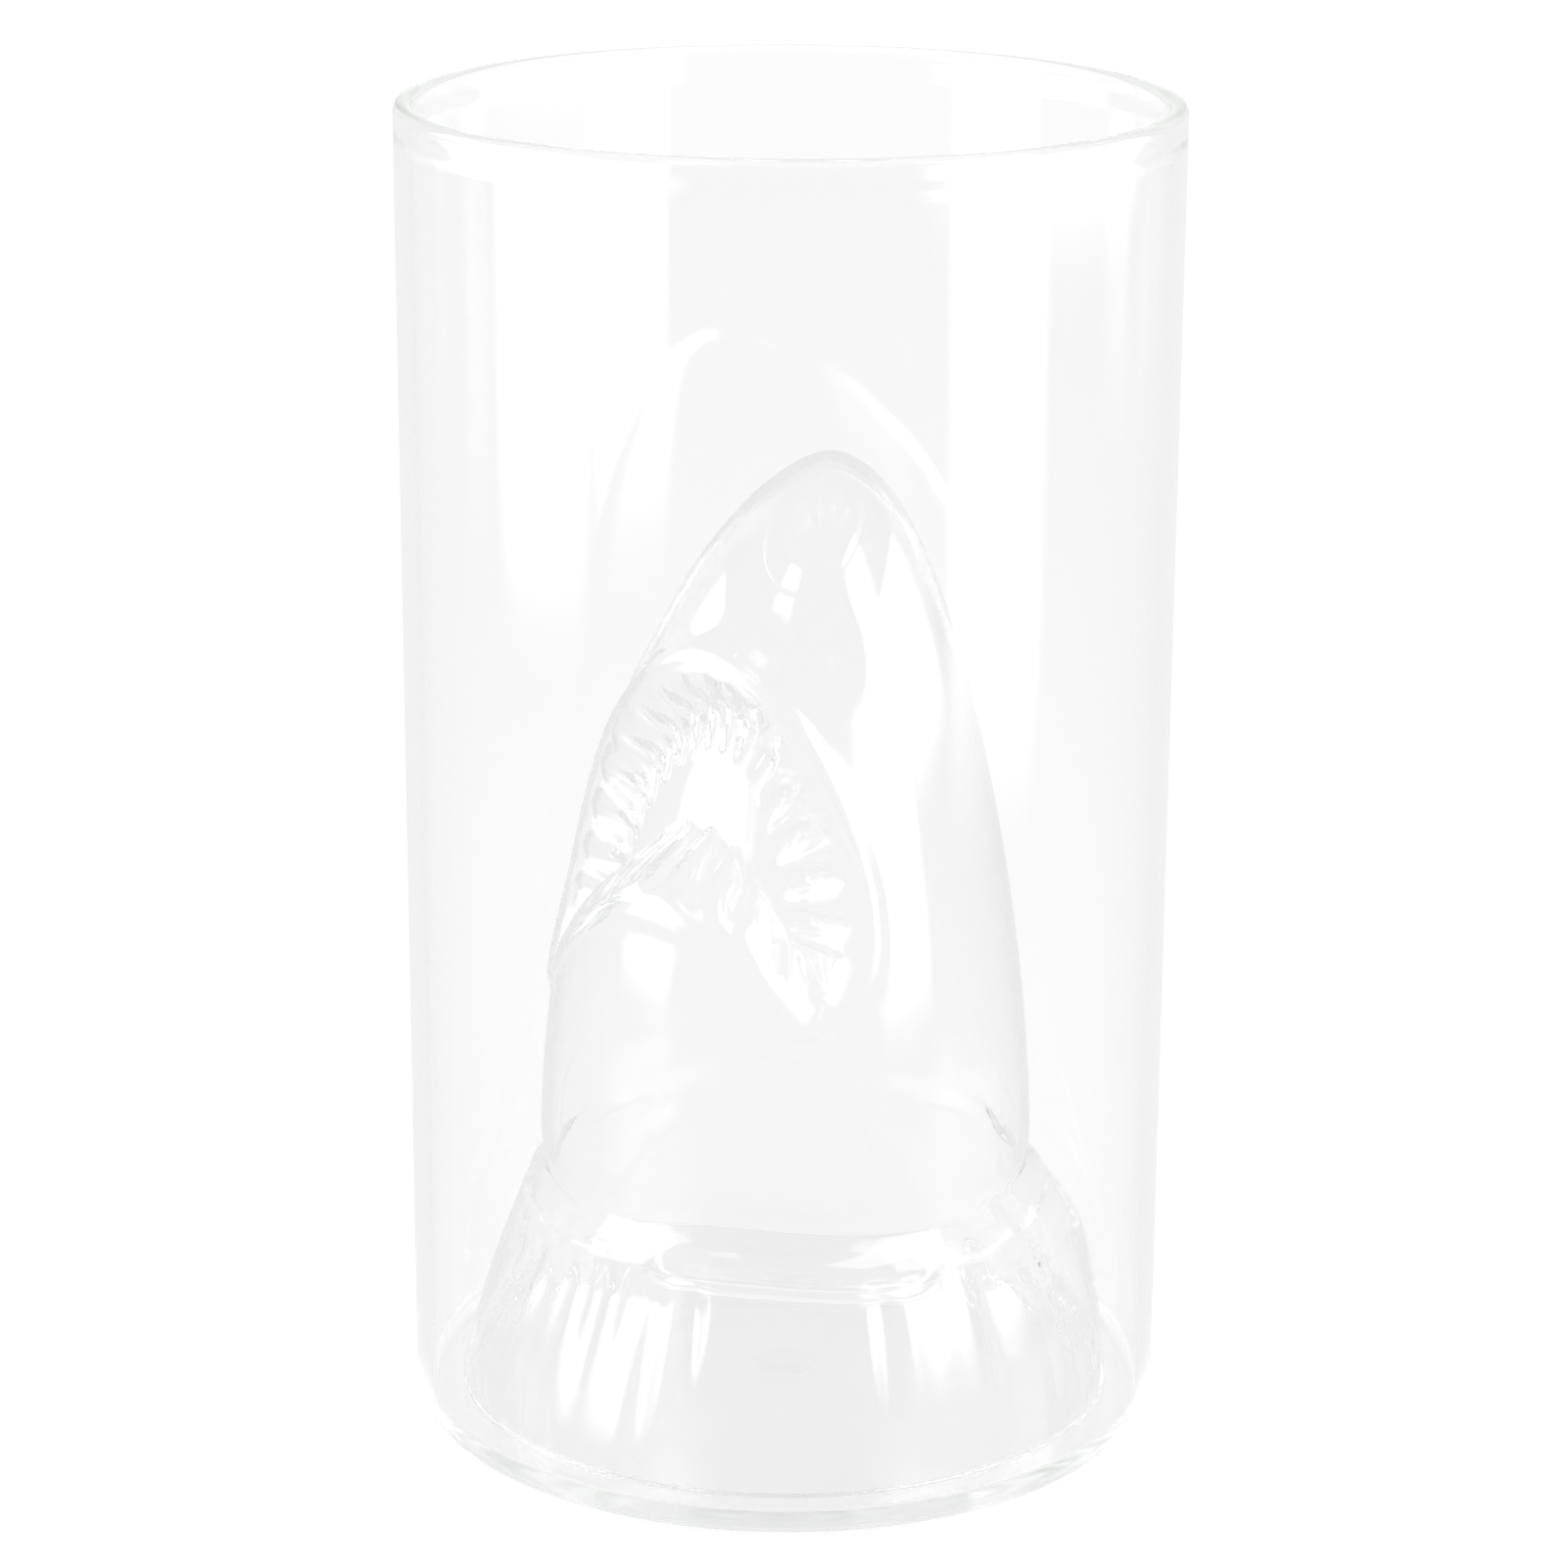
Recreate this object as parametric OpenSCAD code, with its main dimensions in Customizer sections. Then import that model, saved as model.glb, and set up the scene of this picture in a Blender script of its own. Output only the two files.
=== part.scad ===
// Double-wall drinking glass: a straight tumbler with a mould-blown inner wall,
// which is a shark rising nose up out of a wave. All sizes are in millimetres.
// The mouth faces -Y, +Z is up, and the origin is the middle of the underside of the base.

/* [Tumbler] */
// Outside diameter of the tumbler
tumbler_d = 80; // [70:1:100]
// Height of the rim above the table
tumbler_h = 140; // [118:1:180]
// Thickness of the tube wall
wall_t = 1.6; // [1.2:0.1:2.4]
// Thickness of the fire-polished rim
rim_t = 2.1; // [1.8:0.1:3]
// Thickness of the base
base_t = 2.4; // [2:0.1:4]
// Radius of the heel, where the base turns up into the wall
heel_r = 2; // [0.5:0.1:2.4]
// Width of the flat ring that the tumbler stands on
stand_w = 8; // [4:0.5:14]

/* [Shark] */
// Height of the nose above the table
nose_h = 102.5; // [92:0.5:112]
// Radius of the body where it leaves the wave
body_r = 26.4; // [24:0.2:28]
// How far the nose leans back, away from the mouth
nose_lean = 7; // [0:0.5:9]
// Thickness of the blown shell
shell_t = 1.2; // [1:0.1:2]
// Thickness of the shell at the nose
nose_t = 1.4; // [1:0.1:3]

/* [Mouth] */
// Distance from the nose down to the widest part of the mouth
mouth_drop = 44.5; // [40:0.5:48]
// Angle from the middle of the face to the widest part of the mouth
mouth_angle = 58.5; // [45:0.5:65]
// Reach of the mouth above its widest part
mouth_up = 25; // [20:0.5:28]
// Reach of the mouth below its widest part
mouth_down = 15.5; // [12:0.5:18]
// Depth of the mouth
mouth_depth = 5; // [3:0.5:8]
// Depth of the bowl in the middle of the mouth, below the rest
palate_depth = 1.8; // [0:0.1:3]
// Height of the middle of the lower lip above the widest part of the mouth
jaw_rise = 2.5; // [-2:0.5:6]
// Drop of the lower lip from its middle to the corners of the mouth
jaw_drop = 13; // [8:0.5:16]
// Width of the slope from each lip down into the mouth
lip_slope = 5.5; // [4:0.1:8]
// Height of the rounded upper lip above the skin
lip_swell = 0.7; // [0:0.05:1.2]
// Height of the rounded lower lip above the skin
jaw_swell = 0.45; // [0:0.05:1.2]
// Number of teeth in the upper row
upper_teeth = 16; // [10:2:20]
// Length of the upper teeth
upper_tooth_len = 9.5; // [5:0.5:11]
// Number of teeth in the lower row
lower_teeth = 8; // [6:2:14]
// Length of the lower teeth
lower_tooth_len = 7; // [3:0.5:8]
// Depth of the nostrils
nostril_depth = 1; // [0:0.1:1.2]

/* [Wave] */
// Height of the crest of the wave above the table
wave_h = 24.5; // [20:0.5:28]
// Rise and fall of the crest on its way round
crest_sway = 0.8; // [0:0.1:1.2]
// How far the crest stands out from the body
crest_out = 1.6; // [0:0.1:2]
// Swell of the roll along the front of the crest
roll_swell = 1.3; // [0:0.1:2]
// Depth of the creases that part the wave into lobes
crease_depth = 1.3; // [0:0.1:2]
// Depth of the ripples that run down the front lobe
ripple_depth = 0.2; // [0:0.05:0.4]
// Depth of the flat on the left of the front lobe
flat_depth = 1.6; // [0:0.1:2]
// Width of the floor between the foot of the wave and the wall
foot_gap = 3.7; // [2.6:0.1:6]

/* [Seal and vent] */
// Width of the seal ring round the foot of the wave
seal_w = 1.2; // [0.8:0.1:2]
// Height of the seal ring
seal_h = 1.2; // [0.8:0.1:2]
// Gap between the foot and the seal ring
seal_gap = 0.05; // [0.03:0.01:0.2]
// Radius of the vent hole in the base
vent_r = 2; // [1:0.1:3]
// Radius of the pip's head, below the base
pip_r = 3.2; // [3.2:0.1:4]
// Height of the pip's head
pip_h = 0.4; // [0.3:0.1:0.8]
// Depth of the hollow under the base that keeps the pip off the table
punt_depth = 1; // [0.9:0.1:1.2]
// Radius of the flat top of that hollow
punt_top_r = 4.6; // [4.2:0.1:6]

/* [Fineness] */
// Columns of facets round the insert
columns = 64; // [48:8:96]
// Rows of facets over the mouth
mouth_rows = 27; // [16:1:40]
// Degrees in each step of a rounded edge
arc_step = 15; // [5:5:30]

/* [Hidden] */
clear_glass = [0.90, 0.94, 0.93, 0.45];
edge_glass = [0.80, 0.88, 0.85, 0.6];

tumbler_r = tumbler_d / 2;
bore_r = tumbler_r - wall_t;
punt_r = tumbler_r - heel_r - stand_w;
foot_r = bore_r - foot_gap;
seal_r = foot_r + seal_gap;
crest_r = body_r + crest_out;
mouth_h = nose_h - mouth_drop;
jaw_h = mouth_h + jaw_rise;
// Length of the taper from the rim down to the plain wall
rim_taper = 2.5;
// The body narrows to the nose as an ogive with these two powers, and leans by the third
ogive_in = 1.9;
ogive_out = 0.57;
lean_power = 3.4;
// The groove between the body and the crest, and the height above the crest where the body's inside begins
groove_h = 2.2;
groove_depth = 0.5;
lining_lift = 1.4;
// The front lobe of the wave, with the roll and the ripples: its middle, half its width and its soft edge
lobe_middle = 42;
lobe_half = 29;
lobe_edge = 8;
// How the wave spreads on its way down: above 1, it turns upright at its foot
foot_round = 1.3;
// Thickness of the seal ring's two edges
seal_edge = 0.3;
// Where the roll lies, and its width, as shares of the way down from crest to foot
roll_at = 0.06;
roll_w = 0.05;
// The flat: its angle and half its width in degrees
flat_at = 4;
flat_w = 24;
// The creases: the angle of each at the crest and its swing on the way to the foot,
// then the width of all of them and the dip of the crest there
creases = [[-19, -30], [87, 0], [90, 40], [104, 14], [150, 20], [200, -16], [250, 18], [305, -16]];
crease_w = 5;
crease_dip = 0.8;
// Ripples in a full turn, and their swing on the way to the foot as an angle of phase
ripples = 37;
ripple_swing = 60;
// Half the angle that each row of teeth covers: the upper is measured round the middle of the mouth,
// and the lower round the body, where it stops short of the corners of the mouth
corner_w = 10.5;
upper_span = 100;
lower_span = mouth_angle - corner_w;
// Share of its pitch that a tooth is wide, how much of the mouth's depth it fills,
// and how steeply it rises from its tip
tooth_w = 0.92;
tooth_fill = 0.3;
tooth_tip = 1.7;
// The bowl in the mouth: half its width in degrees, half its length, its height above the widest part
palate_angle = 32;
palate_len = 11;
palate_rise = 8;
// Each rounded lip lies this far outside the mouth's edge, is this wide, and fades out past the corner
lip_out = 1.3;
lip_w = 1.4;
lip_fade = 3;
// The nostrils: angle from the middle of the face, distance below the nose, width in degrees, length
nostril_angle = 54;
nostril_drop = 18;
nostril_w = 7;
nostril_len = 3;
// The inside of the blown shell starts its dip this far outside the lips, and has no teeth
inside_spread = 1.5;

function smooth(x) = x <= 0 ? 0 : x >= 1 ? 1 : x * x * (3 - 2 * x);
function bump(x) = exp(-x * x);
function arc(cx, cy, r, from, to) =
    let (steps = ceil(abs(to - from) / arc_step))
    [for (i = [0:steps]) let (a = from + (to - from) * i / steps) [cx + r * cos(a), cy + r * sin(a)]];

// Share of the way from the wave to a top, and the ogive of a given radius that closes there
function rise(z, top) = min(1, max(0, (z - wave_h) / (top - wave_h)));
function ogive(z, r, top) = r * pow(1 - pow(rise(z, top), ogive_in), ogive_out);
function lean(z) = nose_lean * pow(rise(z, nose_h), lean_power);

// Place in the mouth: sideways and upwards shares, distance inside the upper lip and above the lower lip
function mouth_x(a) = a / mouth_angle;
function mouth_y(z) = (z - mouth_h) / (z > mouth_h ? mouth_up : mouth_down);
function inside_lip(a, z) = (1 - norm([mouth_x(a), mouth_y(z)])) * mouth_up;
function jaw_line(a) = jaw_h - jaw_drop * pow(a / lower_span, 2);
function above_jaw(a, z) = z - jaw_line(a);

// A tooth is a rounded finger that narrows and falls with its distance from the lip
function tooth(turn, gap, len) =
    let (aside = 2 * abs(turn - floor(turn) - 0.5))
    let (along = min(1, max(0, gap / len)))
    let (half = tooth_w * sqrt(1 - along * along))
    aside >= half ? 0 : smooth(1 - pow(aside / half, 2)) * smooth((1 - along) * tooth_tip);
function upper_tooth(a, z) =
    let (round_mouth = atan2(mouth_x(a), mouth_y(z)))
    abs(round_mouth) > upper_span ? 0
    : tooth(round_mouth * upper_teeth / (2 * upper_span), inside_lip(a, z), upper_tooth_len);
function lower_tooth(a, z) =
    abs(a) > lower_span ? 0
    : tooth(a * lower_teeth / (2 * lower_span), above_jaw(a, z), lower_tooth_len);

function hollow(a, z, spread) =
    smooth((inside_lip(a, z) + spread) / lip_slope) * smooth((above_jaw(a, z) + spread) / lip_slope);
function palate(a, z) =
    palate_depth * bump(a / palate_angle) * bump((z - mouth_h - palate_rise) / palate_len);
function dip(a, z, spread) = (mouth_depth + palate(a, z)) * hollow(a, z, spread);
function lips(a, z) =
    let (upper = bump((inside_lip(a, z) + lip_out) / lip_w) * smooth(above_jaw(a, z) / lip_slope + 1))
    let (lower = bump((above_jaw(a, z) + lip_out) / lip_w) * smooth(inside_lip(a, z) / lip_fade + 1))
    max(lip_swell * upper, jaw_swell * lower);
function nostril(a, z) =
    nostril_depth * bump((abs(a) - nostril_angle) / nostril_w)
    * bump((z - nose_h + nostril_drop) / nostril_len);
function groove(z) = groove_depth * bump((z - wave_h - groove_h) / groove_h);

// Radius of the body's skin and of the inside of the shell
function skin(a, z) =
    let (teeth = tooth_fill * max(upper_tooth(a, z), lower_tooth(a, z)))
    ogive(z, body_r, nose_h) + lips(a, z) - nostril(a, z) - dip(a, z, 0) * (1 - teeth) - groove(z);
function lining(a, z) =
    ogive(z, body_r - shell_t, nose_h - nose_t) - nostril(a, z) - dip(a, z, inside_spread) - groove(z);

// The wave: height of its crest, and its radius at a share of the way down from crest to foot
function turn_between(a, b) = (a - b + 900) % 360 - 180;
function crease(a, down) = max([
    for (c = creases) bump(turn_between(a, c[0] + c[1] * down) / crease_w)
]);
function crest(a) =
    wave_h + crest_sway * (0.6 * sin(3 * a + 20) + 0.4 * sin(5 * a - 50)) - crease_dip * crease(a, 0);
function front(a) = 1 - smooth((abs(a - lobe_middle) - lobe_half) / lobe_edge + 0.5);
function flat(a) = flat_depth * max(0, 1 - pow((a - flat_at) / flat_w, 2));
function folds(a, down) =
    let (fade = smooth(down * 4) * (1 - down * down))
    let (ripple = ripple_depth * front(a) * sin(ripples * a - ripple_swing * down))
    fade * (ripple - crease_depth * crease(a, down) - flat(a));
function wave(a, down) =
    crest_r + (foot_r - crest_r) * (1 - pow(1 - down, foot_round)) + folds(a, down)
    + roll_swell * front(a) * bump((down - roll_at) / roll_w);

// Points of the shell: [angle, radius, height], leaning with the body
function place(a, r, z) = [r * sin(a), lean(z) - r * cos(a), z];
function wave_point(a, up, inset) =
    let (low = base_t, z = low + (crest(a) - low) * up)
    place(a, wave(a, 1 - up) - inset, z);
function skin_point(a, up) =
    let (low = crest(a) + groove_h, z = low + (nose_h - low) * up)
    place(a, skin(a, z), z);
function lining_point(a, up) =
    let (low = crest(a) + lining_lift, z = low + (nose_h - nose_t - low) * up)
    place(a, lining(a, z), z);

// Rows of the skin, as shares of the way up the wave and up the body
mouth_low = max(0.02, (mouth_h - mouth_down - wave_h) / (nose_h - wave_h));
mouth_top = (mouth_h + mouth_up + 2 - wave_h) / (nose_h - wave_h);
function rows_up(chin, mouth, snout) = concat(
    [for (i = [0:chin - 1]) mouth_low * i / chin],
    [for (i = [0:mouth - 1]) mouth_low + (mouth_top - mouth_low) * i / mouth],
    [for (i = [0:snout - 1]) 1 - (1 - mouth_top) * pow(1 - i / snout, 2)]
);
wave_rows = [for (i = [0:11]) smooth(i / 11)];
body_rows = rows_up(4, mouth_rows, 9);
// Rows of the inside, which stops its wave just below the crest
inner_wave_rows = [for (i = [0:8]) 0.95 * smooth(i / 8)];
inner_body_rows = rows_up(2, mouth_rows - 7, 6);

// Columns stand closer together round the mouth than at the back
crowding = 0.45;
angles = [
    for (i = [0:columns - 1])
        let (turn = 360 * (i + 0.5) / columns - 180)
        turn - crowding * 180 / PI * sin(turn)
];

// Faces of a grid of rows, closed by a fan at its top point
function grid_faces(start, rows, flip) = [
    for (j = [0:rows - 2]) for (i = [0:columns - 1])
        let (n = (i + 1) % columns)
        let (a = start + j * columns + i, b = start + j * columns + n)
        let (c = b + columns, d = a + columns)
        each flip ? [[a, b, c], [a, c, d]] : [[a, c, b], [a, d, c]]
];
function fan_faces(start, rows, tip, flip) = [
    for (i = [0:columns - 1])
        let (a = start + (rows - 1) * columns + i, b = start + (rows - 1) * columns + (i + 1) % columns)
        flip ? [a, b, tip] : [a, tip, b]
];
function foot_faces(start) = [
    for (i = [0:columns - 1])
        let (n = (i + 1) % columns)
        each [[i, n, start + n], [i, start + n, start + i]]
];

// The tumbler: tube, flat base, heel, fire-polished rim and the hollow with the vent hole
module outer_wall() {
    rim_c = [tumbler_r - rim_t / 2, tumbler_h - rim_t / 2];
    color(clear_glass)
    rotate_extrude($fn = 96)
    polygon(concat(
        [[vent_r, base_t], [vent_r, punt_depth], [punt_top_r, punt_depth], [punt_r, 0]],
        arc(tumbler_r - heel_r, heel_r, heel_r, -90, 0),
        arc(rim_c[0], rim_c[1], rim_t / 2, 0, 180),
        [[bore_r, tumbler_h - rim_t / 2 - rim_taper], [bore_r, base_t]]
    ));
}

// The inner wall: wave and shark blown as one shell
module shark_insert() {
    outer_rows = len(wave_rows) + len(body_rows);
    inner_rows = len(inner_wave_rows) + len(inner_body_rows);
    inner_start = outer_rows * columns + 1;
    outer_tip = outer_rows * columns;
    inner_tip = inner_start + inner_rows * columns;
    points = concat(
        [for (up = wave_rows) for (a = angles) wave_point(a, up, 0)],
        [for (up = body_rows) for (a = angles) skin_point(a, up)],
        [place(0, 0, nose_h)],
        [for (up = inner_wave_rows) for (a = angles) wave_point(a, up, shell_t)],
        [for (up = inner_body_rows) for (a = angles) lining_point(a, up)],
        [place(0, 0, nose_h - nose_t)]
    );
    faces = concat(
        grid_faces(0, outer_rows, false),
        fan_faces(0, outer_rows, outer_tip, false),
        grid_faces(inner_start, inner_rows, true),
        fan_faces(inner_start, inner_rows, inner_tip, true),
        foot_faces(inner_start)
    );
    color(clear_glass)
    polyhedron(points, faces, convexity = 8);
}

// Glass run in round the foot of the wave, on the base, with a hollow side
module seal_ring() {
    seal_out = seal_r + seal_w;
    seal_top = base_t + seal_h;
    color(edge_glass)
    rotate_extrude($fn = 96)
    polygon(concat(
        [[seal_r, base_t], [seal_out, base_t]],
        [for (p = arc(0, 0, 1, -90, -180))
            [seal_out + (seal_w - seal_edge) * p[0], seal_top + (seal_h - seal_edge) * p[1]]],
        [[seal_r, seal_top]]
    ));
}

// Drop of glass that closes the vent hole, with a low domed head below the base
module vent_pip() {
    dome_r = (pip_r * pip_r + pip_h * pip_h) / (2 * pip_h);
    dome_a = asin(pip_r / dome_r);
    color(edge_glass)
    rotate_extrude($fn = 48)
    polygon(concat(
        [[0, base_t]],
        arc(0, punt_depth - pip_h + dome_r, dome_r, -90, dome_a - 90),
        [[vent_r, punt_depth], [vent_r, base_t]]
    ));
}

outer_wall();
shark_insert();
seal_ring();
vent_pip();
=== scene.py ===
import math

import bpy
import numpy as np
from mathutils import Matrix

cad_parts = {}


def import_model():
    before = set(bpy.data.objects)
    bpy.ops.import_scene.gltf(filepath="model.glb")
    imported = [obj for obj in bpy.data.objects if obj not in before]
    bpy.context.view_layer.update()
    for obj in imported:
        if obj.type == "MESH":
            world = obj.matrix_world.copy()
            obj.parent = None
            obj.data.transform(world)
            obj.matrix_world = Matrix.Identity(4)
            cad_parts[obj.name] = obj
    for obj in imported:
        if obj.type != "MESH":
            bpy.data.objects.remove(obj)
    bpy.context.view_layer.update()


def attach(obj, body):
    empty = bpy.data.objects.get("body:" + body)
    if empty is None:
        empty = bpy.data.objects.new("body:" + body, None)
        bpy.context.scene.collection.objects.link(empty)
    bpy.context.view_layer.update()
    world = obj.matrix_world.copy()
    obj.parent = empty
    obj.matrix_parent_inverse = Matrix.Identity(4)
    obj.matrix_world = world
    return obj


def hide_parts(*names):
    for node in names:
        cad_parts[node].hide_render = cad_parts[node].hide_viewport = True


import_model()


# Tumbler
# The outer wall is a straight tube of clear glass with a flat base, drawn and closed over a torch.
# Its rim is fire-polished, and a hollow under the base keeps the sealed vent hole off the table.
MM = 0.001


def round_corner(centre_r, centre_z, radius, start, end, steps):
    """Points along an arc of the profile, from one angle in degrees to another."""
    turns = np.radians(np.linspace(start, end, steps + 1))
    return [(centre_r + radius * math.cos(t), centre_z + radius * math.sin(t)) for t in turns]


def half_wave(share):
    """Runs from 1 to 0 along half a cosine wave, which starts and ends level."""
    return 0.5 + 0.5 * math.cos(math.pi * share)


def wire(tree, node_type, **links):
    """Adds a node to a tree and connects or sets its inputs by name or number."""
    node = tree.nodes.new(node_type)
    for key, value in links.items():
        socket = node.inputs[int(key[1:]) if key[1:].isdigit() else key.replace("_", " ")]
        if isinstance(value, bpy.types.NodeSocket):
            tree.links.new(value, socket)
        else:
            socket.default_value = value
    return node


def maths(tree, operation, first, second=0.0):
    """Adds one sum to a tree and gives its result."""
    node = tree.nodes.new("ShaderNodeMath")
    node.operation = operation
    for socket, value in zip(node.inputs, (first, second)):
        if isinstance(value, bpy.types.NodeSocket):
            tree.links.new(value, socket)
        else:
            socket.default_value = value
    return node.outputs[0]


def glass_lathe_tree():
    """Builds the node tree that turns a profile line round the Z axis, as a glass lathe does."""
    tree = bpy.data.node_groups.new("glass_lathe", "GeometryNodeTree")
    face = tree.interface
    face.new_socket("Profile", in_out="INPUT", socket_type="NodeSocketGeometry")
    face.new_socket("Segments", in_out="INPUT", socket_type="NodeSocketInt")
    face.new_socket("Glass", in_out="INPUT", socket_type="NodeSocketMaterial")
    face.new_socket("Wall", in_out="OUTPUT", socket_type="NodeSocketGeometry")
    given = tree.nodes.new("NodeGroupInput")
    result = tree.nodes.new("NodeGroupOutput")
    size = wire(tree, "GeometryNodeAttributeDomainSize", Geometry=given.outputs["Profile"])
    columns = maths(tree, "ADD", given.outputs["Segments"], 1.0)
    grid = wire(tree, "GeometryNodeMeshGrid", Vertices_X=size.outputs["Point Count"], Vertices_Y=columns)
    index = tree.nodes.new("GeometryNodeInputIndex").outputs[0]
    row = maths(tree, "FLOOR", maths(tree, "DIVIDE", maths(tree, "ADD", index, 0.5), columns))
    column = maths(tree, "SUBTRACT", index, maths(tree, "MULTIPLY", row, columns))
    turn = maths(tree, "DIVIDE", maths(tree, "MULTIPLY", column, 2 * math.pi), given.outputs["Segments"])
    sample = tree.nodes.new("GeometryNodeSampleIndex")
    sample.data_type = "FLOAT_VECTOR"
    tree.links.new(given.outputs["Profile"], sample.inputs["Geometry"])
    tree.links.new(tree.nodes.new("GeometryNodeInputPosition").outputs[0], sample.inputs["Value"])
    tree.links.new(row, sample.inputs["Index"])
    point = wire(tree, "ShaderNodeSeparateXYZ", Vector=sample.outputs[0])
    across = maths(tree, "MULTIPLY", point.outputs["X"], maths(tree, "COSINE", turn))
    along = maths(tree, "MULTIPLY", point.outputs["X"], maths(tree, "SINE", turn))
    place = wire(tree, "ShaderNodeCombineXYZ", X=across, Y=along, Z=point.outputs["Z"])
    moved = wire(tree, "GeometryNodeSetPosition", Geometry=grid.outputs["Mesh"], Position=place.outputs[0])
    closed = wire(tree, "GeometryNodeMergeByDistance", Geometry=moved.outputs[0], Distance=1e-6)
    outwards = wire(tree, "GeometryNodeFlipFaces", Mesh=closed.outputs[0])
    smooth = wire(tree, "GeometryNodeSetShadeSmooth", Geometry=outwards.outputs[0])
    real = wire(tree, "GeometryNodeRealizeInstances", Geometry=smooth.outputs[0])
    done = wire(tree, "GeometryNodeSetMaterial", Geometry=real.outputs[0], Material=given.outputs["Glass"])
    tree.links.new(done.outputs[0], result.inputs[0])
    return tree


def turned_glass(name, profile, segments, material):
    """Turns a profile of (radius, height) points in mm into a closed glass piece."""
    line = bpy.data.meshes.new(name + "_profile")
    line.from_pydata([(r * MM, 0, z * MM) for r, z in profile], [], [])
    piece = bpy.data.objects.new(name, line)
    bpy.context.scene.collection.objects.link(piece)
    lathe = piece.modifiers.new("lathe", "NODES")
    lathe.node_group = LATHE
    for item in LATHE.interface.items_tree:
        if item.name == "Segments":
            lathe[item.identifier] = segments
        if item.name == "Glass":
            lathe[item.identifier] = material
    evaluated = piece.evaluated_get(bpy.context.evaluated_depsgraph_get())
    mesh = bpy.data.meshes.new_from_object(evaluated)
    piece.modifiers.remove(lathe)
    mesh.name = name
    piece.data = mesh
    bpy.data.meshes.remove(line)
    return piece


glass_ior = 1.47
body_colour = (0.62, 0.68, 0.63, 1)
body_density = 1.5
skin_detail = 2.0


def clear_glass(name, tint, stretch, wave_scale, wave_depth):
    """Clear glass with a faint green body colour and a slightly wavy skin."""
    material = bpy.data.materials.new(name)
    material.use_nodes = True
    tree = material.node_tree
    shader = tree.nodes["Principled BSDF"]
    shader.inputs["Base Color"].default_value = tint
    shader.inputs["Transmission Weight"].default_value = 1.0
    shader.inputs["IOR"].default_value = glass_ior
    shader.inputs["Roughness"].default_value = 0.0
    where = tree.nodes.new("ShaderNodeTexCoord").outputs["Object"]
    mapping = wire(tree, "ShaderNodeMapping", Vector=where, Scale=stretch)
    skin = wire(tree, "ShaderNodeTexNoise", Vector=mapping.outputs[0], Scale=wave_scale, Detail=skin_detail)
    bump = wire(tree, "ShaderNodeBump", Height=skin.outputs[0], Strength=1.0, Distance=wave_depth)
    tree.links.new(bump.outputs[0], shader.inputs["Normal"])
    body = tree.nodes.new("ShaderNodeVolumeAbsorption")
    body.inputs["Color"].default_value = body_colour
    body.inputs["Density"].default_value = body_density
    tree.links.new(body.outputs[0], tree.nodes["Material Output"].inputs["Volume"])
    return material


tumbler_r = 40.0
tumbler_h = 140.0
wall_t = 1.6
rim_t = 2.1
rim_taper = 3.5
rim_taper_start = 0.04
base_t = 2.4
heel_r = 2.0
floor_corner_r = 0.5
punt_depth = 0.6
punt_top_r = 4.6
punt_r = 30.0
punt_step = 1.0
bore_r = tumbler_r - wall_t
rim_r = rim_t / 2
rim_c = (tumbler_r - rim_r, tumbler_h - rim_r)
punt_run = punt_r - punt_top_r

# A point this close to each round corner keeps the flat beside it flat under smooth shading.
corner_hold = 0.36
side_end = 8.0
bore_drop = 14.0
punt_steps = 24
heel_steps = 10
side_rows = 16
rim_steps = 18
taper_steps = 16
floor_steps = 6
tumbler_segments = 256

underside = (
    [(0, punt_depth), (0.5 * punt_top_r, punt_depth)]
    + [(r, punt_depth * half_wave((r - punt_top_r) / punt_run))
       for r in np.linspace(punt_top_r, punt_r, punt_steps)]
    + [(punt_r + punt_step, 0), (tumbler_r - heel_r - corner_hold, 0)]
)
outside = (
    round_corner(tumbler_r - heel_r, heel_r, heel_r, -90, 0, heel_steps)
    + [(tumbler_r, heel_r + corner_hold)]
    + [(tumbler_r, z) for z in np.linspace(side_end, tumbler_h - side_end, side_rows)]
    + [(tumbler_r, rim_c[1] - corner_hold)]
)
rim = (
    round_corner(rim_c[0], rim_c[1], rim_r, 0, 180, rim_steps)
    + [(bore_r - (rim_t - wall_t) * half_wave(share), rim_c[1] - rim_taper * share)
       for share in np.linspace(rim_taper_start, 1, taper_steps)]
)
inside = (
    [(bore_r, z) for z in np.linspace(tumbler_h - bore_drop, side_end, side_rows)]
    + [(bore_r, base_t + floor_corner_r + corner_hold)]
    + round_corner(bore_r - floor_corner_r, base_t + floor_corner_r, floor_corner_r, 0, -90, floor_steps)
    + [(bore_r - floor_corner_r - corner_hold, base_t), (0.5 * bore_r, base_t), (0, base_t)]
)

LATHE = glass_lathe_tree()
tube_glass = clear_glass(
    "tube_glass",
    tint=(0.958, 0.96, 0.958, 1),
    stretch=(1.0, 1.0, 0.25),
    wave_scale=45.0,
    wave_depth=0.00006,
)
tumbler = turned_glass("tumbler", underside + outside + rim + inside, tumbler_segments, tube_glass)
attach(tumbler, "root")
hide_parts("outer_wall")


# Shark insert
# The inner wall is one shell of clear glass, blown into a mould: a shark rising nose up out of a wave.
# It stands on the base inside the tumbler, and its foot is melted on, which seals air inside it.
# Angles are in degrees round the shell, from 0 at the mouth to 90 at the shark's left.
nose_h = 102.5
body_r = 26.4
body_bulge = 1.9
nose_bulge = 0.57
nose_lean = 7.0
lean_power = 3.4
shell_t = 0.8
nose_t = 1.0

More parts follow.
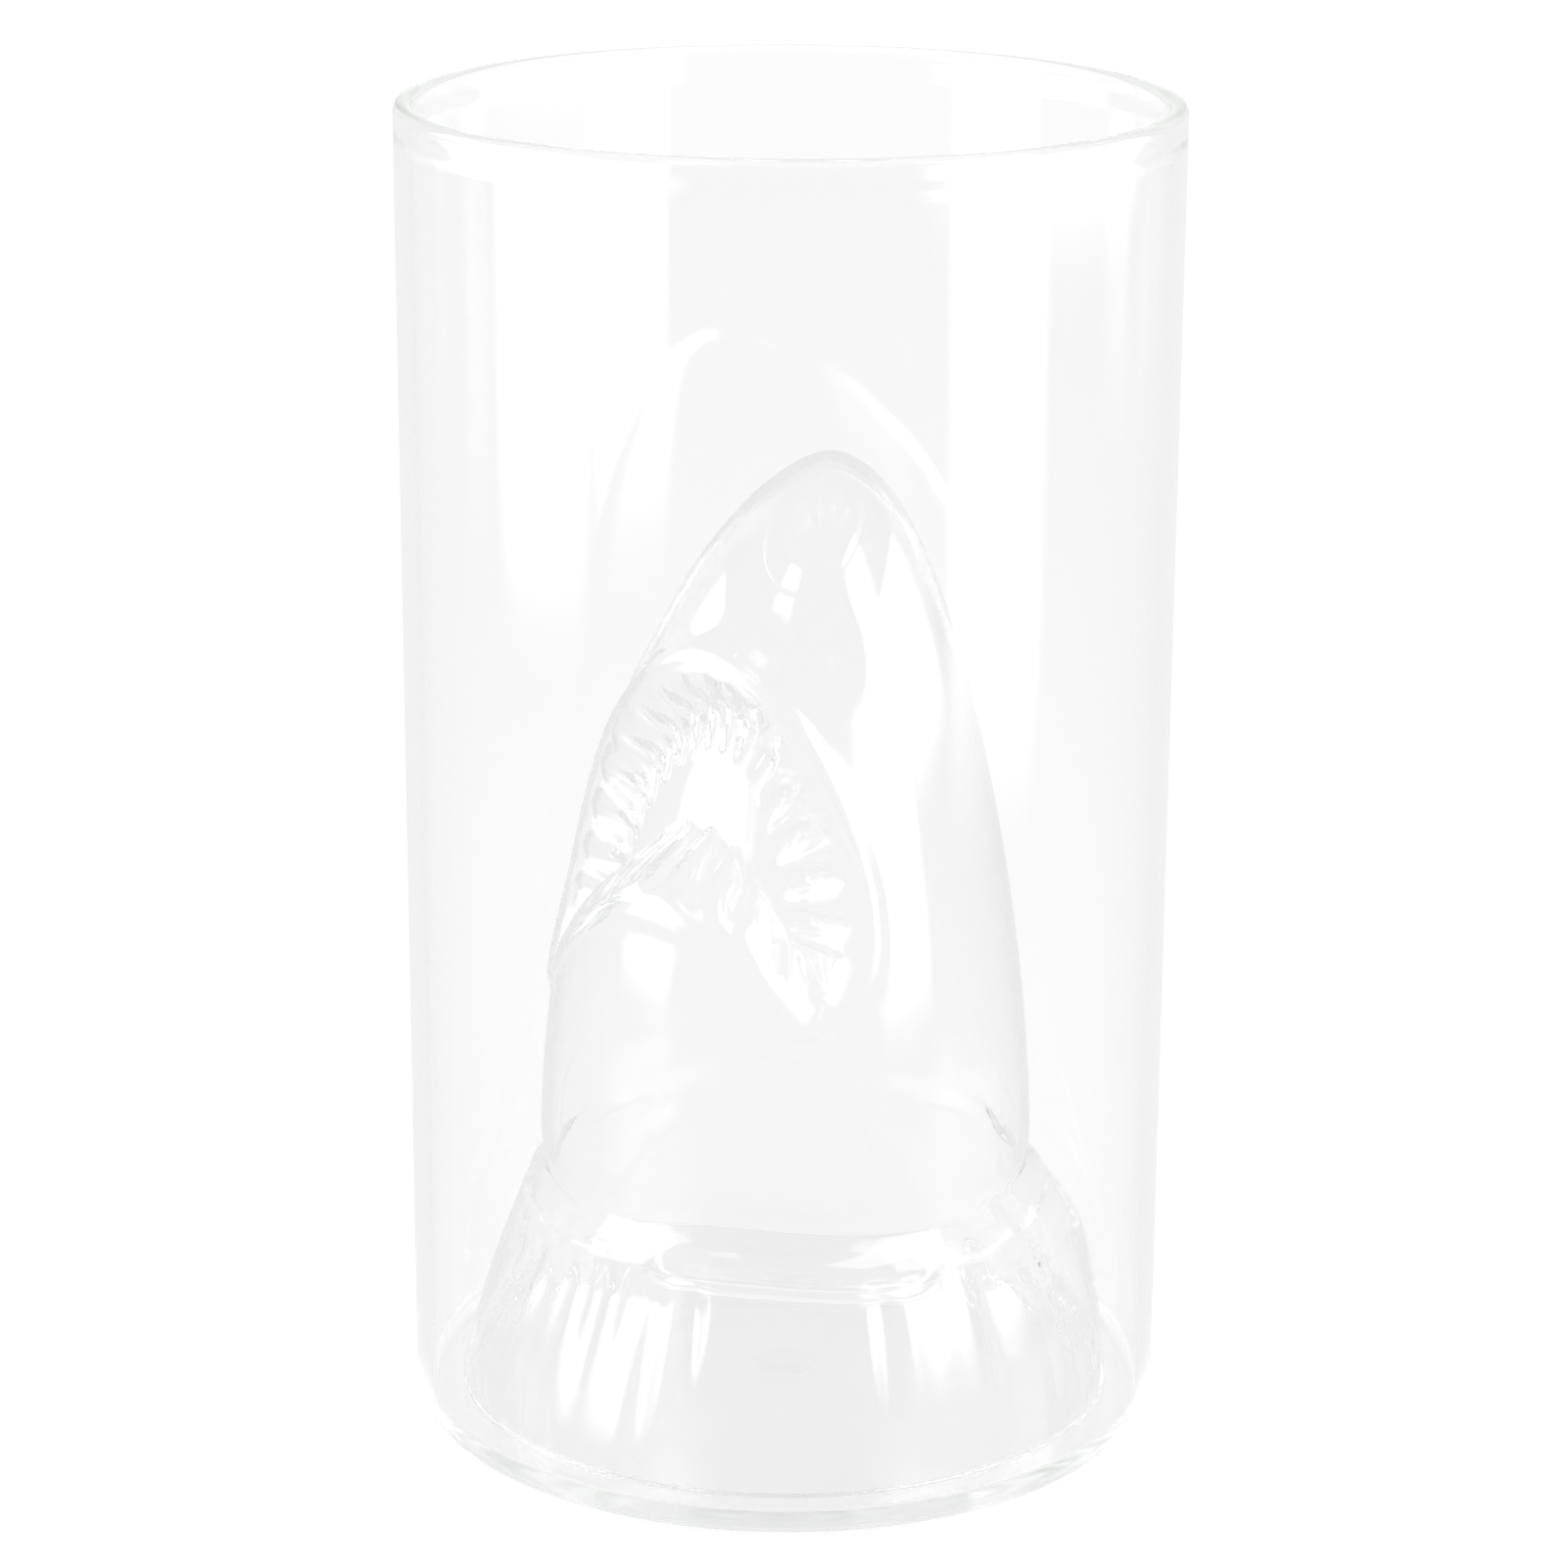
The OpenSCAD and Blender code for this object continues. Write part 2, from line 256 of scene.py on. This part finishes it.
# The wave
# A swing or a ripple has its share, its count round the shell and its shift, a crease its start and swing.
wave_h = 24.5
crest_sway = 0.8
crest_swings = ((0.6, 3, 20), (0.4, 5, -50))
crest_r = 28.0
far_crest = 1.2
far_from = 100.0
far_edge = 30.0
groove_h = 2.2
groove_depth = 0.5
roll_swell = 1.7
roll_middle = 42.0
roll_half = 29.0
roll_edge = 8.0
roll_at = 0.06
roll_w = 0.05
lobe_swell = 2.2
lobe_middle = 128.0
lobe_w = 24.0
creases = ((-19, -30), (87, 0), (90, 40), (104, 14), (150, 20), (200, -16), (250, 18), (305, -16))
crease_depth = 1.2
crease_w = 5.0
crease_dip = 0.8
ripple_depth = 0.3
ripples = ((0.55, 29, -60), (0.45, 46, 40))
ripple_half = 62.0
ripple_edge = 24.0
flat_depth = 1.6
flat_at = 4.0
flat_w = 24.0
fold_rise = 0.25
foot_round = 1.3
foot_gap = 3.7
foot_r = bore_r - foot_gap
lining_lift = 1.4

# Melted glass runs together, so touching pieces overlap by this much or twice it, and show no seam.
melt_overlap = 0.02

# The mouth
mouth_h = nose_h - 44.5
mouth_angle = 58.5
mouth_up = 25.0
mouth_down = 15.5
mouth_depth = 5.0
palate_depth = 1.8
palate_rise = 8.0
palate_angle = 32.0
palate_len = 11.0
jaw_h = mouth_h + 2.5
jaw_drop = 13.0
jaw_slope = 6.5
jaw_swell = 0.3
lip_slope = 5.5
lip_swell = 0.7
lip_out = 1.3
lip_w = 1.4
lip_fade = 3.0
corner_w = 10.5
upper_teeth = 16
upper_tooth_len = 9.5
upper_span = 100.0
lower_teeth = 8
lower_tooth_len = 7.0
lower_span = mouth_angle - corner_w
tooth_w = 0.92
tooth_tip = 1.7
tooth_fill = 0.34
inside_spread = 0.5
inside_teeth = 0.85

# The nostrils
nostril_depth = 0.4
nostril_angle = 54.0
nostril_drop = 18.0
nostril_w = 7.0
nostril_len = 3.0


def ease(x):
    """Runs from 0 to 1 with a soft start and a soft end."""
    x = np.clip(x, 0, 1)
    return x * x * (3 - 2 * x)


def swell(x):
    """A rounded ridge of height 1 and half width 1."""
    return np.exp(-x * x)


def sin_deg(a):
    return np.sin(np.radians(a))


def way_round(a):
    """The same turn, between -180 and 180 degrees."""
    return (a + 180) % 360 - 180


def body_share(z, top):
    """Share of the way from the wave up to the top of the skin or of the lining."""
    return np.clip((z - wave_h) / (top - wave_h), 0, 1)


def bullet(z, top, radius):
    """Radius of the plain body, which narrows to the nose."""
    return radius * (1 - body_share(z, top) ** body_bulge) ** nose_bulge


def lean_back(z):
    return nose_lean * body_share(z, nose_h) ** lean_power


def mouth_reach(z):
    return np.where(z > mouth_h, mouth_up, mouth_down)


def inside_lip(a, z):
    """Distance inside the edge of the mouth, in mm."""
    return (1 - np.hypot(a / mouth_angle, (z - mouth_h) / mouth_reach(z))) * mouth_up


def above_jaw(a, z):
    return z - (jaw_h - jaw_drop * (a / lower_span) ** 2)


def tooth_row(turn, gap, length):
    """Height of a row of rounded teeth, from 0 to 1, by place along the row and distance from the lip."""
    aside = 2 * np.abs(turn - np.floor(turn) - 0.5)
    along = np.clip(gap / length, 0, 1)
    half = tooth_w * np.sqrt(1 - along ** 2) + 1e-6
    return ease(1 - (aside / half) ** 2) * ease((1 - along) * tooth_tip)


def teeth(a, z):
    """Share of the mouth's depth that the teeth fill."""
    round_mouth = np.degrees(np.arctan2(a / mouth_angle, (z - mouth_h) / mouth_reach(z)))
    upper = tooth_row(round_mouth * upper_teeth / (2 * upper_span), inside_lip(a, z), upper_tooth_len)
    upper = np.where(np.abs(round_mouth) > upper_span, 0, upper)
    lower = tooth_row(a * lower_teeth / (2 * lower_span), above_jaw(a, z), lower_tooth_len)
    lower = np.where(np.abs(a) > lower_span, 0, lower)
    return tooth_fill * np.maximum(upper, lower)


def mouth_dip(a, z, spread):
    """Depth of the mouth below the skin."""
    hollow = ease((inside_lip(a, z) + spread) / lip_slope) * ease((above_jaw(a, z) + spread) / jaw_slope)
    palate = palate_depth * swell(a / palate_angle) * swell((z - mouth_h - palate_rise) / palate_len)
    return (mouth_depth + palate) * hollow


def lips(a, z):
    upper = swell((inside_lip(a, z) + lip_out) / lip_w) * ease(above_jaw(a, z) / lip_slope + 1)
    lower = swell((above_jaw(a, z) + lip_out) / lip_w) * ease(inside_lip(a, z) / lip_fade + 1)
    return np.maximum(lip_swell * upper, jaw_swell * lower)


def nostrils(a, z):
    across = swell((np.abs(a) - nostril_angle) / nostril_w)
    return nostril_depth * across * swell((z - nose_h + nostril_drop) / nostril_len)


def far_side(a):
    """Runs from 0 to 1 towards the back, where the body flows into the wave with hardly a ledge."""
    return ease((np.abs(way_round(a - roll_middle)) - far_from) / far_edge)


def groove(a, z):
    """Depth of the groove round the body, just above the crest of the wave."""
    return groove_depth * (1 - far_side(a)) * swell((z - wave_h - groove_h) / groove_h)


def skin_r(a, z):
    """Radius of the shark's skin at an angle and a height."""
    dip = mouth_dip(a, z, 0) * (1 - teeth(a, z))
    return bullet(z, nose_h, body_r) + lips(a, z) - nostrils(a, z) - dip - groove(a, z)


def lining_r(a, z):
    """Radius of the inside of the shell, which follows the skin and closes below the nose."""
    dip = mouth_dip(a, z, inside_spread) * (1 - inside_teeth * teeth(a, z))
    hollow_body = bullet(z, nose_h - nose_t, body_r - shell_t)
    return hollow_body + lips(a, z) - nostrils(a, z) - dip - groove(a, z)


def crease(a, down):
    """Nearness to the creases that part the wave into lobes, each with its start and its swing."""
    nearest = np.zeros(np.broadcast(a, down).shape)
    for start, swing in creases:
        nearest = np.maximum(nearest, swell(way_round(a - start - swing * down) / crease_w))
    return nearest


def crest_z(a):
    """Height of the crest, which sways in long and short swings and dips at the creases."""
    sway = sum(share * sin_deg(count * a + shift) for share, count, shift in crest_swings)
    return wave_h + crest_sway * sway - crease_dip * crease(a, 0)


def before(a, half, edge):
    """Runs from 1 in front, about the middle of the rolled crest, to 0 beyond a half width."""
    return 1 - ease((np.abs(a - roll_middle) - half) / edge + 0.5)


def wave_r(a, down, rolled):
    """Radius of the wave at a share of the way down from its crest to its foot."""
    fade = ease(down / fold_rise) * (1 - down * down)
    runs = sum(share * sin_deg(count * a + swing * down) for share, count, swing in ripples)
    ripple = ripple_depth * before(a, ripple_half, ripple_edge) * runs
    lobe = lobe_swell * swell((a - lobe_middle) / lobe_w)
    flat = flat_depth * np.maximum(0, 1 - ((a - flat_at) / flat_w) ** 2)
    folds = fade * (ripple + lobe - crease_depth * crease(a, down) - flat)
    roll = rolled * roll_swell * before(a, roll_half, roll_edge) * swell((down - roll_at) / roll_w)
    spread = 1 - (1 - down) ** foot_round
    crest = crest_r - far_crest * far_side(a)
    return crest + (foot_r - crest) * spread + folds + roll


def shell_rows(a, wave_ups, body_ups, inside):
    """Rows of points in mm, from the foot of the wave to just below the nose."""
    top = crest_z(a)
    foot_z = base_t - melt_overlap
    rows = []
    for up in wave_ups:
        r = wave_r(a, 1 - up, 0) - shell_t if inside else wave_r(a, 1 - up, 1)
        rows.append((r, foot_z + (top - foot_z) * up))
    low, high = (top + lining_lift, nose_h - nose_t) if inside else (top + groove_h, nose_h)
    for up in body_ups:
        z = low + (high - low) * up
        rows.append((lining_r(a, z) if inside else skin_r(a, z), z))
    return [np.stack([r * sin_deg(a), lean_back(z) - r * np.cos(np.radians(a)), z], 1) for r, z in rows]


def ring_faces(first, rows, columns, flip):
    """Four-sided faces between rows of points that run round the shell."""
    faces = []
    for j in range(rows - 1):
        low, high = first + j * columns, first + (j + 1) * columns
        for i in range(columns):
            n = (i + 1) % columns
            face = (low + i, low + n, high + n, high + i)
            faces.append(face[::-1] if flip else face)
    return faces


def tip_faces(first, columns, tip, flip):
    """Three-sided faces from the last row to the point of the nose."""
    faces = []
    for i in range(columns):
        face = (first + i, first + (i + 1) % columns, tip)
        faces.append(face[::-1] if flip else face)
    return faces


# Columns crowd towards the face, and rows towards the mouth and the crest.
columns = 216
crowding = 0.4
turns = 360 * (np.arange(columns) + 0.5) / columns - 180
column_a = turns - crowding * np.degrees(sin_deg(turns))
mouth_margin = 3.0
mouth_low = body_share(mouth_h - mouth_down - mouth_margin, nose_h)
mouth_top = body_share(mouth_h + mouth_up + mouth_margin, nose_h)
crest_band = 0.6
wave_rows = 26
crest_rows = 34
lining_crest = 0.95
lining_wave_rows = 30


def rows_up_body(low_rows, mouth_rows, nose_rows):
    """Shares of the way up the body, below the mouth, along it, and up to the nose."""
    return np.concatenate([
        np.linspace(0, mouth_low, low_rows, endpoint=False),
        np.linspace(mouth_low, mouth_top, mouth_rows, endpoint=False),
        1 - (1 - mouth_top) * (1 - np.arange(nose_rows) / nose_rows) ** 2,
    ])


skin_wave_ups = np.concatenate([
    np.linspace(0, crest_band, wave_rows, endpoint=False),
    np.linspace(crest_band, 1, crest_rows),
])
lining_wave_ups = np.linspace(0, lining_crest, lining_wave_rows)
skin_body_ups = rows_up_body(low_rows=18, mouth_rows=120, nose_rows=40)
lining_body_ups = rows_up_body(low_rows=10, mouth_rows=110, nose_rows=34)
outer = shell_rows(column_a, skin_wave_ups, skin_body_ups, False)
inner = shell_rows(column_a, lining_wave_ups, lining_body_ups, True)
outer_tip = np.array([[0, nose_lean, nose_h]])
inner_tip = np.array([[0, lean_back(nose_h - nose_t), nose_h - nose_t]])
insert_points = np.concatenate(outer + [outer_tip] + inner + [inner_tip]) * MM
inner_first = len(outer) * columns + 1
insert_faces = ring_faces(0, len(outer), columns, False)
insert_faces += tip_faces((len(outer) - 1) * columns, columns, inner_first - 1, False)
insert_faces += ring_faces(inner_first, len(inner), columns, True)
insert_faces += tip_faces(inner_first + (len(inner) - 1) * columns, columns, len(insert_points) - 1, True)
for i in range(columns):
    n = (i + 1) % columns
    insert_faces.append((i, inner_first + i, inner_first + n, n))

insert_mesh = bpy.data.meshes.new("shark_insert_shell")
insert_mesh.from_pydata(insert_points.tolist(), [], insert_faces)
insert_mesh.shade_smooth()
foot_ring = set(range(columns)) | set(range(inner_first, inner_first + columns))
for edge in insert_mesh.edges:
    edge.use_edge_sharp = set(edge.vertices) <= foot_ring
blown_glass = clear_glass(
    "blown_glass",
    tint=(0.98, 0.981, 0.98, 1),
    stretch=(1.0, 1.0, 0.6),
    wave_scale=60.0,
    wave_depth=0.00005,
)
insert_mesh.materials.append(blown_glass)
shark = bpy.data.objects.new("shark_shell", insert_mesh)
bpy.context.scene.collection.objects.link(shark)
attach(shark, "root")
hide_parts("shark_insert")


# Seal ring
# Glass run in round the foot of the wave, where it stands on the base of the tumbler.
# It is melted to both, and the flame has drawn its side hollow.
seal_w = 0.4
seal_edge = 0.05
seal_low = base_t - melt_overlap
seal_in = foot_r - 2 * melt_overlap
seal_out = seal_in + seal_w
seal_hollow_r = seal_w - 3 * seal_edge
seal_top = seal_low + 2 * seal_edge + seal_hollow_r
seal_edge_steps = 8
seal_hollow_steps = 14
seal_segments = 192
seal_profile = (
    [(seal_in, seal_low + seal_edge), (seal_in + seal_edge, seal_low), (seal_in + 1.5 * seal_edge, seal_low)]
    + round_corner(seal_out - seal_edge, seal_low + seal_edge, seal_edge, -90, 90, seal_edge_steps)
    + round_corner(seal_out - seal_edge, seal_top, seal_hollow_r, -90, -180, seal_hollow_steps)
    + round_corner(seal_in + seal_edge, seal_top, seal_edge, 0, 180, seal_edge_steps)
)
seal_profile.append(seal_profile[0])
melted_glass = clear_glass(
    "melted_glass",
    tint=(0.992, 0.993, 0.992, 1),
    stretch=(1.0, 1.0, 1.0),
    wave_scale=120.0,
    wave_depth=0.00005,
)
seal = turned_glass("seal_bead", seal_profile, seal_segments, melted_glass)
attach(seal, "root")
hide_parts("seal_ring")


# Vent pip
# The drop of glass that closes the vent hole in the base, once the rest has cooled.
# It is melted into the base, so only its low dome shows, in the hollow under the base.
pip_r = 3.2
pip_h = 0.1
pip_edge = 0.01
pip_steps = 24
pip_segments = 64
pip_top = punt_depth + melt_overlap
pip_profile = (
    [(r, pip_top - pip_edge - pip_h * half_wave(r / pip_r))
     for r in np.linspace(0, pip_r - 2 * pip_edge, pip_steps)]
    + [(pip_r - pip_edge, pip_top - pip_edge), (pip_r, pip_top - 0.5 * pip_edge)]
    + [(pip_r - pip_edge, pip_top), (pip_r - 2 * pip_edge, pip_top), (0.5 * pip_r, pip_top), (0, pip_top)]
)
pip = turned_glass("vent_drop", pip_profile, pip_segments, melted_glass)
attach(pip, "root")
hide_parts("vent_pip")


# Table and studio
# A white table that takes the glass's faint shadow, in a white room with a grey tone in reflections.
# Five soft panels stand round it: two tall ones on the table, two fills raised above it, and a high one.
def ray_kinds(tree):
    """Two switches from the light path: a reflection on its way, and light that falls on a dull surface."""
    path = tree.nodes.new("ShaderNodeLightPath")
    mirrored = maths(tree, "GREATER_THAN", path.outputs["Glossy Depth"], 0.5)
    scattered = maths(tree, "GREATER_THAN", path.outputs["Diffuse Depth"], 0.5)
    return mirrored, scattered


def between(tree, switch, when_off, when_on):
    """Gives one value or another by a switch of 0 or 1."""
    share = maths(tree, "MULTIPLY", switch, when_on)
    rest = maths(tree, "MULTIPLY", maths(tree, "SUBTRACT", 1.0, switch), when_off)
    return maths(tree, "ADD", share, rest)


room_white = 1.0
room_tone = 0.91
room_light = 0.85
world = bpy.data.worlds.new("white_room")
world.use_nodes = True
bpy.context.scene.world = world
room = world.node_tree
mirrored, scattered = ray_kinds(room)
level = between(room, scattered, between(room, mirrored, room_white, room_tone), room_light)
room.links.new(level, room.nodes["Background"].inputs["Strength"])
room.nodes["Background"].inputs["Color"].default_value = (1, 1, 1, 1)

table_half = 4.0
table_z = -0.0002
table_paint = (0.1, 0.1, 0.1, 1)
table_glow = 0.935
table_light = 0.5
table_mesh = bpy.data.meshes.new("table")
table_mesh.from_pydata(
    [(-table_half, -table_half, table_z), (table_half, -table_half, table_z),
     (table_half, table_half, table_z), (-table_half, table_half, table_z)],
    [], [(0, 1, 2, 3)],
)
table = bpy.data.objects.new("table", table_mesh)
bpy.context.scene.collection.objects.link(table)
white_table = bpy.data.materials.new("white_table")
white_table.use_nodes = True
paint = white_table.node_tree
paint.nodes.remove(paint.nodes["Principled BSDF"])
mirrored, scattered = ray_kinds(paint)
dull = wire(paint, "ShaderNodeBsdfDiffuse", Color=table_paint)
glow = wire(paint, "ShaderNodeEmission", Strength=between(paint, scattered, table_glow, table_light))
lit = wire(paint, "ShaderNodeAddShader", _0=dull.outputs[0], _1=glow.outputs[0])
grey = wire(paint, "ShaderNodeEmission", Strength=room_tone)
choice = wire(paint, "ShaderNodeMixShader", _0=mirrored, _1=lit.outputs[0], _2=grey.outputs[0])
paint.links.new(choice.outputs[0], paint.nodes["Material Output"].inputs["Surface"])
table_mesh.materials.append(white_table)

camera_turn = math.radians(40)
panel_full = 0.55
panel_foot_fade = 0.06


def soft_panel(name, side_from, side_to, distance, height, brightness, low):
    """A glowing panel that faces the glass, with soft sides and a soft lower edge at a height."""
    middle = math.radians((side_from + side_to) / 2) + camera_turn
    half_w = distance * math.tan(math.radians(abs(side_to - side_from) / 2))
    corners = [(-half_w, 0, 0), (half_w, 0, 0), (half_w, 0, height), (-half_w, 0, height)]
    mesh = bpy.data.meshes.new(name)
    mesh.from_pydata(corners, [], [(3, 2, 1, 0)])
    panel = bpy.data.objects.new(name, mesh)
    panel.matrix_world = Matrix.Rotation(middle, 4, "Z") @ Matrix.Translation((0, -distance, 0))
    bpy.context.scene.collection.objects.link(panel)
    panel.visible_camera = False
    panel.visible_shadow = False
    glow_cloth = bpy.data.materials.new(name)
    glow_cloth.use_nodes = True
    tree = glow_cloth.node_tree
    tree.nodes.remove(tree.nodes["Principled BSDF"])
    where = tree.nodes.new("ShaderNodeTexCoord").outputs["Object"]
    spot = wire(tree, "ShaderNodeSeparateXYZ", Vector=where)
    aside = maths(tree, "DIVIDE", maths(tree, "ABSOLUTE", spot.outputs["X"]), half_w)
    side = wire(tree, "ShaderNodeMapRange", Value=aside, From_Min=1.0,
                From_Max=panel_full, To_Min=0.0, To_Max=1.0)
    side.interpolation_type = "SMOOTHSTEP"
    foot = wire(tree, "ShaderNodeMapRange", Value=spot.outputs["Z"], From_Min=low,
                From_Max=low + panel_foot_fade, To_Min=0.0, To_Max=1.0)
    foot.interpolation_type = "SMOOTHSTEP"
    front = maths(tree, "SUBTRACT", 1.0, tree.nodes.new("ShaderNodeNewGeometry").outputs["Backfacing"])
    shape = maths(tree, "MULTIPLY", maths(tree, "MULTIPLY", side.outputs[0], foot.outputs[0]), front)
    light = wire(tree, "ShaderNodeEmission", Strength=maths(tree, "MULTIPLY", shape, brightness))
    see_through = tree.nodes.new("ShaderNodeBsdfTransparent")
    mix = wire(tree, "ShaderNodeMixShader", _0=shape, _1=see_through.outputs[0], _2=light.outputs[0])
    tree.links.new(mix.outputs[0], tree.nodes["Material Output"].inputs["Surface"])
    mesh.materials.append(glow_cloth)


# Sides are in degrees from the camera, and lengths in metres.
soft_panel("panel_left", -92, -52, distance=0.29, height=0.25, brightness=5.0, low=0.0)
soft_panel("panel_right", 39, 76, distance=0.20, height=0.42, brightness=5.0, low=0.0)
soft_panel("fill_left", -125, -40, distance=0.30, height=0.30, brightness=4.5, low=0.10)
soft_panel("fill_right", 28, 124, distance=0.22, height=0.24, brightness=4.5, low=0.07)
soft_panel("top_front", -52, -18, distance=0.35, height=0.78, brightness=3.5, low=0.48)


# Camera
# It stands at the photograph's place: right of the shark's face, above the rim and looking down.
# Light runs far along inside the clear walls, so rays may bounce many times before they end.
camera_d = 0.456788
camera_h = 0.207082
camera_pitch = 0.29615
camera_roll = -0.00538
focal_px = 4630.69
picture_px = 1601.0
centre_px = 803.727
light_bounces = 1024
eye = bpy.data.cameras.new("camera")
eye.sensor_width = 36.0
eye.lens = focal_px / picture_px * eye.sensor_width
eye.shift_x = -(centre_px - picture_px / 2) / picture_px
eye.clip_start = 0.01
camera = bpy.data.objects.new("camera", eye)
camera.matrix_world = (
    Matrix.Rotation(camera_turn, 4, "Z")
    @ Matrix.Translation((0, -camera_d, camera_h))
    @ Matrix.Rotation(math.pi / 2 - camera_pitch, 4, "X")
    @ Matrix.Rotation(-camera_roll, 4, "Z")
)
bpy.context.scene.collection.objects.link(camera)
bpy.context.scene.camera = camera
bpy.context.scene.view_settings.view_transform = "Standard"
bpy.context.scene.cycles.max_bounces = light_bounces
bpy.context.scene.cycles.transmission_bounces = light_bounces
bpy.context.scene.cycles.glossy_bounces = light_bounces
